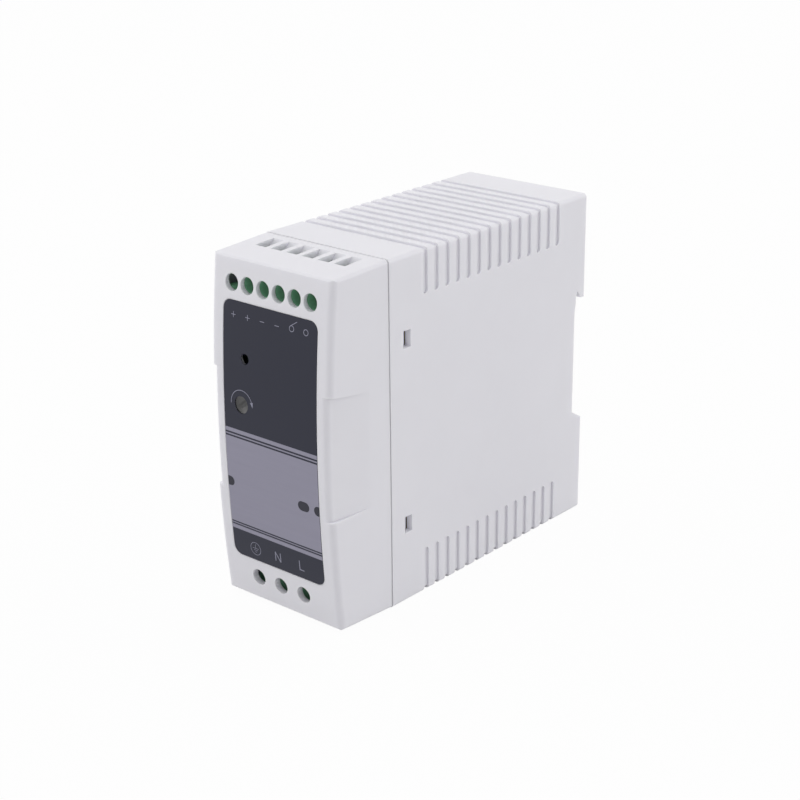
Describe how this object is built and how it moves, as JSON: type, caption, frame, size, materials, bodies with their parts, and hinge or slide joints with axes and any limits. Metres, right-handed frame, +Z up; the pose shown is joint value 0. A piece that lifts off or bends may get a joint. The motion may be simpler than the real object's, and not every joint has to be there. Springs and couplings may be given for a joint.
{
  "type": "din rail power supply",
  "caption": "Slim enclosed power supply that snaps onto a rail: vented housing, bowed front cover, screw terminals at top and bottom, lamp and trimmer on the front.",
  "frame": {"origin": "middle of the base, under the centre of the body's box", "axes": "+Z up, +Y from the front towards the rail at the rear, +X to the right seen from the front"},
  "size_m": [0.04, 0.1, 0.09],
  "materials": {
    "shell": "fine moulded texture, satin",
    "label": "printed film, satin",
    "latch": "satin moulded",
    "spring_steel": "drawn wire",
    "terminal": "moulded",
    "plated_steel": "zinc plated",
    "contact": "tin plated",
    "board": "solder mask over glass laminate",
    "led": "clear tinted",
    "black_plastic": "moulded",
    "trimmer": "moulded",
    "rotor": "moulded",
    "ceramic_disc": "lacquered",
    "blue_disc": "lacquered",
    "film_box": "moulded box",
    "ferrite": "ground",
    "copper_wire": "enamelled wire",
    "can_sleeve": "shrink sleeve over an aluminium can",
    "aluminium": "bare",
    "winding_tape": "polyester tape",
    "opto_white": "moulded",
    "relay_case": "moulded"
  },
  "bodies": {
    "housing": {"rear_housing": "shell", "front_cover": "shell", "front_label": "label", "latch_spring": "spring_steel", "output_terminal_body": "terminal", "output_contact_bars": "contact", "input_terminal_body": "terminal", "input_contact_bars": "contact", "main_board": "board", "output_board": "board", "input_board": "board", "status_led": "led", "led_holder": "black_plastic", "trimmer_body": "trimmer", "fuse": "black_plastic", "inrush_thermistor": "ceramic_disc", "x_capacitor": "film_box", "line_choke_core": "ferrite", "line_choke_winding": "copper_wire", "bridge_rectifier": "black_plastic", "bulk_capacitor": "can_sleeve", "primary_heat_sink": "aluminium", "switching_transistor": "black_plastic", "transformer_core": "ferrite", "transformer_bobbin": "black_plastic", "transformer_winding": "winding_tape", "secondary_heat_sink": "aluminium", "output_rectifier": "black_plastic", "heat_sink_screws": "plated_steel", "output_capacitors": "can_sleeve", "output_choke": "copper_wire", "optocouplers": "opto_white", "y_capacitor": "blue_disc", "controller_chip": "black_plastic", "dc_ok_relay": "relay_case"},
    "latch": {"din_latch": "latch"},
    "rotor": {"trimmer_rotor": "rotor"},
    "output_screw_1": {"output_screw_1": "plated_steel"},
    "output_cage_1": {"output_cage_1": "plated_steel"},
    "output_screw_2": {"output_screw_2": "plated_steel"},
    "output_cage_2": {"output_cage_2": "plated_steel"},
    "output_screw_3": {"output_screw_3": "plated_steel"},
    "output_cage_3": {"output_cage_3": "plated_steel"},
    "output_screw_4": {"output_screw_4": "plated_steel"},
    "output_cage_4": {"output_cage_4": "plated_steel"},
    "output_screw_5": {"output_screw_5": "plated_steel"},
    "output_cage_5": {"output_cage_5": "plated_steel"},
    "output_screw_6": {"output_screw_6": "plated_steel"},
    "output_cage_6": {"output_cage_6": "plated_steel"},
    "input_screw_1": {"input_screw_1": "plated_steel"},
    "input_cage_1": {"input_cage_1": "plated_steel"},
    "input_screw_2": {"input_screw_2": "plated_steel"},
    "input_cage_2": {"input_cage_2": "plated_steel"},
    "input_screw_3": {"input_screw_3": "plated_steel"},
    "input_cage_3": {"input_cage_3": "plated_steel"}
  },
  "joints": [
    {"name": "latch_slide", "type": "slide", "parent": "housing", "child": "latch", "axis": [0, 0, -1], "range_m": [0, 0.004], "stiffness_N_per_m": 400, "springref_m": -0.006, "deforming": ["latch_spring"]},
    {"name": "trimmer_turn", "type": "hinge", "parent": "housing", "child": "rotor", "pos_m": [-0.0094, -0.0464, 0.0532], "axis": [0, 1, 0], "range_deg": [-130, 130]},
    {"name": "output_screw_1_turn", "type": "hinge", "parent": "housing", "child": "output_screw_1", "pos_m": [-0.0127, -0.0416, 0.08285], "axis": [0, 1, 0], "range_deg": [0, 1729]},
    {"name": "output_cage_1_rise", "type": "slide", "parent": "housing", "child": "output_cage_1", "axis": [0, -1, 0], "range_m": [0, 0.0024]},
    {"name": "output_screw_2_turn", "type": "hinge", "parent": "housing", "child": "output_screw_2", "pos_m": [-0.00762, -0.0416, 0.08285], "axis": [0, 1, 0], "range_deg": [0, 1729]},
    {"name": "output_cage_2_rise", "type": "slide", "parent": "housing", "child": "output_cage_2", "axis": [0, -1, 0], "range_m": [0, 0.0024]},
    {"name": "output_screw_3_turn", "type": "hinge", "parent": "housing", "child": "output_screw_3", "pos_m": [-0.00254, -0.0416, 0.08285], "axis": [0, 1, 0], "range_deg": [0, 1729]},
    {"name": "output_cage_3_rise", "type": "slide", "parent": "housing", "child": "output_cage_3", "axis": [0, -1, 0], "range_m": [0, 0.0024]},
    {"name": "output_screw_4_turn", "type": "hinge", "parent": "housing", "child": "output_screw_4", "pos_m": [0.00254, -0.0416, 0.08285], "axis": [0, 1, 0], "range_deg": [0, 1729]},
    {"name": "output_cage_4_rise", "type": "slide", "parent": "housing", "child": "output_cage_4", "axis": [0, -1, 0], "range_m": [0, 0.0024]},
    {"name": "output_screw_5_turn", "type": "hinge", "parent": "housing", "child": "output_screw_5", "pos_m": [0.00762, -0.0416, 0.08285], "axis": [0, 1, 0], "range_deg": [0, 1729]},
    {"name": "output_cage_5_rise", "type": "slide", "parent": "housing", "child": "output_cage_5", "axis": [0, -1, 0], "range_m": [0, 0.0024]},
    {"name": "output_screw_6_turn", "type": "hinge", "parent": "housing", "child": "output_screw_6", "pos_m": [0.0127, -0.0416, 0.08285], "axis": [0, 1, 0], "range_deg": [0, 1729]},
    {"name": "output_cage_6_rise", "type": "slide", "parent": "housing", "child": "output_cage_6", "axis": [0, -1, 0], "range_m": [0, 0.0024]},
    {"name": "input_screw_1_turn", "type": "hinge", "parent": "housing", "child": "input_screw_1", "pos_m": [-0.00762, -0.0416, 0.00715], "axis": [0, 1, 0], "range_deg": [0, 1729]},
    {"name": "input_cage_1_rise", "type": "slide", "parent": "housing", "child": "input_cage_1", "axis": [0, -1, 0], "range_m": [0, 0.0024]},
    {"name": "input_screw_2_turn", "type": "hinge", "parent": "housing", "child": "input_screw_2", "pos_m": [0, -0.0416, 0.00715], "axis": [0, 1, 0], "range_deg": [0, 1729]},
    {"name": "input_cage_2_rise", "type": "slide", "parent": "housing", "child": "input_cage_2", "axis": [0, -1, 0], "range_m": [0, 0.0024]},
    {"name": "input_screw_3_turn", "type": "hinge", "parent": "housing", "child": "input_screw_3", "pos_m": [0.00762, -0.0416, 0.00715], "axis": [0, 1, 0], "range_deg": [0, 1729]},
    {"name": "input_cage_3_rise", "type": "slide", "parent": "housing", "child": "input_cage_3", "axis": [0, -1, 0], "range_m": [0, 0.0024]}
  ],
  "couplings": [
    {"joint": "output_screw_1_turn", "follows": "output_cage_1_rise", "rad_per_m": 12566},
    {"joint": "output_screw_2_turn", "follows": "output_cage_2_rise", "rad_per_m": 12566},
    {"joint": "output_screw_3_turn", "follows": "output_cage_3_rise", "rad_per_m": 12566},
    {"joint": "output_screw_4_turn", "follows": "output_cage_4_rise", "rad_per_m": 12566},
    {"joint": "output_screw_5_turn", "follows": "output_cage_5_rise", "rad_per_m": 12566},
    {"joint": "output_screw_6_turn", "follows": "output_cage_6_rise", "rad_per_m": 12566},
    {"joint": "input_screw_1_turn", "follows": "input_cage_1_rise", "rad_per_m": 12566},
    {"joint": "input_screw_2_turn", "follows": "input_cage_2_rise", "rad_per_m": 12566},
    {"joint": "input_screw_3_turn", "follows": "input_cage_3_rise", "rad_per_m": 12566}
  ]
}
